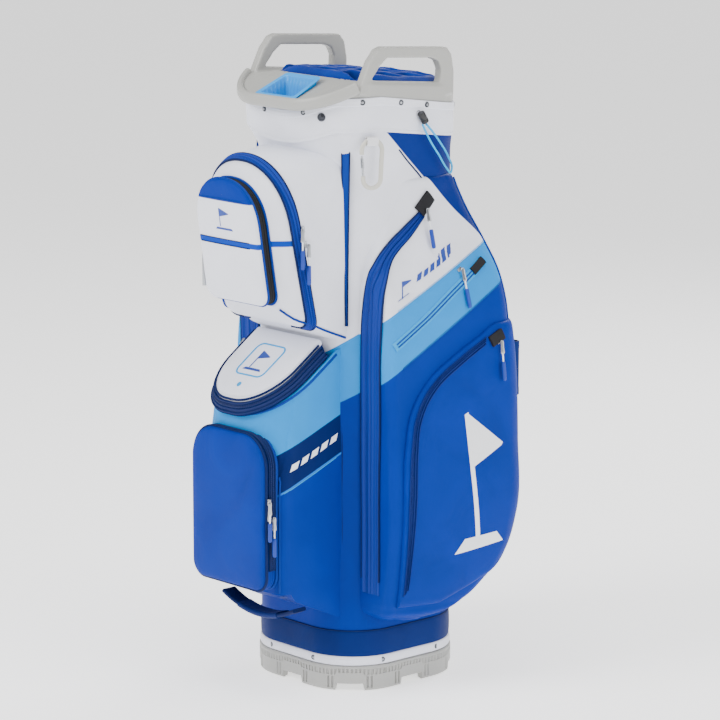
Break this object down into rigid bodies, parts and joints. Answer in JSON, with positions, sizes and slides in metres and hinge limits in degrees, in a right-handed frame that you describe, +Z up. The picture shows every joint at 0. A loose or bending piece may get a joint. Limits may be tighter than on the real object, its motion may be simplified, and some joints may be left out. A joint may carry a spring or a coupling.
{
  "type": "golf cart bag",
  "caption": "Golf cart bag with padded club dividers, moulded handles, a putter well, zipped side and front pockets, a lidded cooler pocket and a towel clip.",
  "frame": {"origin": "middle of the base's underside, on the floor, on the axis of the tube", "axes": "+Z up along the tube, -Y towards the front pockets and the putter well, +X towards the right side pocket"},
  "size_m": [0.4243, 0.41, 0.925],
  "materials": {
    "grey_moulding": "light grey moulded plastic, fine satin texture",
    "sky_moulding": "light blue moulded plastic with ribbed walls",
    "white_fabric": "white coated woven nylon",
    "royal_fabric": "royal blue coated woven nylon with a slight sheen",
    "navy_fabric": "dark blue padded nylon",
    "navy_padding": "dark blue nylon over foam-padded dividers",
    "navy_lining": "thin dark blue lining cloth",
    "black_tape": "black zip tape on padded cloth",
    "foil_liner": "silver foil-faced insulating liner",
    "glass_fibre": "black glass fibre rod",
    "blue_webbing": "dark blue woven webbing",
    "white_webbing": "off-white woven webbing",
    "sky_elastic": "light blue braided elastic cord",
    "black_plastic": "black moulded plastic",
    "ivory_plastic": "off-white moulded plastic",
    "steel_wire": "bright steel wire",
    "plated_zinc": "warm silver plated zinc",
    "blue_pull": "white cord in a soft blue tube"
  },
  "bodies": {
    "bag": {"ball_pocket": "royal_fabric", "ball_zip_top_slider": "plated_zinc", "band_zip_left_slider": "plated_zinc", "band_zip_right_slider": "plated_zinc", "base": "grey_moulding", "body_shell": "royal_fabric", "clip_tab": "white_webbing", "cooler_liner": "foil_liner", "cooler_pocket": "royal_fabric", "cord_lock": "black_plastic", "divider_grid": "navy_padding", "divider_sheet_1": "navy_lining", "divider_sheet_2": "navy_lining", "divider_sheet_3": "navy_lining", "grab_handle": "blue_webbing", "lower_band": "white_fabric", "lower_cuff": "royal_fabric", "pouch_zip_left_slider": "plated_zinc", "pouch_zip_right_slider": "plated_zinc", "putter_well": "sky_moulding", "side_pocket_left": "royal_fabric", "side_pocket_right": "royal_fabric", "side_pouch_left": "royal_fabric", "side_pouch_right": "royal_fabric", "side_zip_left_slider": "plated_zinc", "side_zip_right_slider": "plated_zinc", "stay_front_left": "glass_fibre", "stay_front_right": "glass_fibre", "stay_rear_left": "glass_fibre", "stay_rear_right": "glass_fibre", "strap_anchor_high": "royal_fabric", "strap_anchor_low": "royal_fabric", "strap_pad": "navy_fabric", "strap_webbing_high": "blue_webbing", "strap_webbing_low": "blue_webbing", "top_collar": "grey_moulding", "umbrella_cord": "sky_elastic", "umbrella_sleeve": "navy_fabric", "upper_cuff": "white_fabric", "upper_pocket_body": "white_fabric", "upper_zip_top_slider": "plated_zinc"},
    "cooler_lid_body": {"cooler_lid": "white_fabric", "lid_zip_slider": "plated_zinc"},
    "upper_front_body": {"upper_pocket_front": "white_fabric", "valuables_pocket": "black_tape", "valuables_zip_slider": "plated_zinc"},
    "valuables_flap_body": {"valuables_flap": "white_fabric"},
    "ball_flap_body": {"ball_pocket_flap": "royal_fabric"},
    "carabiner": {"carabiner_body": "ivory_plastic"},
    "carabiner_gate_body": {"carabiner_gate": "steel_wire"},
    "upper_zip_low": {"upper_zip_low_slider": "plated_zinc"},
    "ball_zip_low": {"ball_zip_low_slider": "plated_zinc"},
    "ball_zip_low_pull": {"ball_zip_low_pull": "blue_pull"},
    "ball_zip_top_pull": {"ball_zip_top_pull": "blue_pull"},
    "band_zip_right_pull": {"band_zip_right_pull": "blue_pull"},
    "pouch_zip_right_pull": {"pouch_zip_right_pull": "blue_pull"},
    "side_zip_right_pull": {"side_zip_right_pull": "blue_pull"},
    "upper_zip_low_pull": {"upper_zip_low_pull": "blue_pull"},
    "upper_zip_top_pull": {"upper_zip_top_pull": "blue_pull"}
  },
  "joints": [
    {"name": "cooler_lid_hinge", "type": "hinge", "parent": "bag", "child": "cooler_lid_body", "pos_m": [0, -0.1245, 0.5123], "axis": [-1, 0, 0], "range_deg": [0, 40]},
    {"name": "upper_front_hinge", "type": "hinge", "parent": "bag", "child": "upper_front_body", "pos_m": [0, -0.158, 0.5345], "axis": [1, 0, 0], "range_deg": [0, 30]},
    {"name": "valuables_flap_hinge", "type": "hinge", "parent": "upper_front_body", "child": "valuables_flap_body", "pos_m": [0, -0.21568, 0.5711], "axis": [1, 0, 0], "range_deg": [0, 55]},
    {"name": "ball_flap_hinge", "type": "hinge", "parent": "bag", "child": "ball_flap_body", "pos_m": [0, -0.236, 0.1652], "axis": [1, 0, 0], "range_deg": [0, 95]},
    {"name": "carabiner_swing", "type": "hinge", "parent": "bag", "child": "carabiner", "pos_m": [0.1262, -0.0815, 0.7964], "axis": [-0.4067, -0.9135, 0], "range_deg": [0, 70]},
    {"name": "carabiner_gate_hinge", "type": "hinge", "parent": "carabiner", "child": "carabiner_gate_body", "pos_m": [0.12018, -0.09502, 0.776], "axis": [0.9135, -0.4067, 0], "range_deg": [0, 25], "stiffness_Nm_per_rad": 0.01, "springref_deg": -28.65},
    {"name": "upper_zip_slide", "type": "slide", "parent": "bag", "child": "upper_zip_low", "axis": [0, 0.1867, -0.9824], "range_m": [0, 0.085]},
    {"name": "ball_zip_slide", "type": "slide", "parent": "bag", "child": "ball_zip_low", "axis": [0, 0, -1], "range_m": [0, 0.07]},
    {"name": "ball_zip_low_pull_hinge", "type": "hinge", "parent": "ball_zip_low", "child": "ball_zip_low_pull", "pos_m": [0.0877, -0.23, 0.274], "axis": [0, -1, 0], "range_deg": [0, 60]},
    {"name": "ball_zip_top_pull_hinge", "type": "hinge", "parent": "bag", "child": "ball_zip_top_pull", "pos_m": [0.0877, -0.238, 0.297], "axis": [0, -1, 0], "range_deg": [0, 60]},
    {"name": "band_zip_right_pull_hinge", "type": "hinge", "parent": "bag", "child": "band_zip_right_pull", "pos_m": [0.16921, 0.05132, 0.60541], "axis": [-0.0849, -0.9959, -0.0298], "range_deg": [0, 60]},
    {"name": "pouch_zip_right_pull_hinge", "type": "hinge", "parent": "bag", "child": "pouch_zip_right_pull", "pos_m": [0.2047, 0.09735, 0.50047], "axis": [-0.0748, -0.9972, -0.0052], "range_deg": [0, 60]},
    {"name": "side_zip_right_pull_hinge", "type": "hinge", "parent": "bag", "child": "side_zip_right_pull", "pos_m": [0.13325, 0.01728, 0.6903], "axis": [-0.0827, -0.9964, -0.0205], "range_deg": [0, 60]},
    {"name": "upper_zip_low_pull_hinge", "type": "hinge", "parent": "upper_zip_low", "child": "upper_zip_low_pull", "pos_m": [0.09589, -0.17149, 0.65575], "axis": [-0.28, -0.96, 0], "range_deg": [0, 60]},
    {"name": "upper_zip_top_pull_hinge", "type": "hinge", "parent": "bag", "child": "upper_zip_top_pull", "pos_m": [0.09421, -0.18143, 0.67775], "axis": [-0.28, -0.96, 0], "range_deg": [0, 60]}
  ]
}
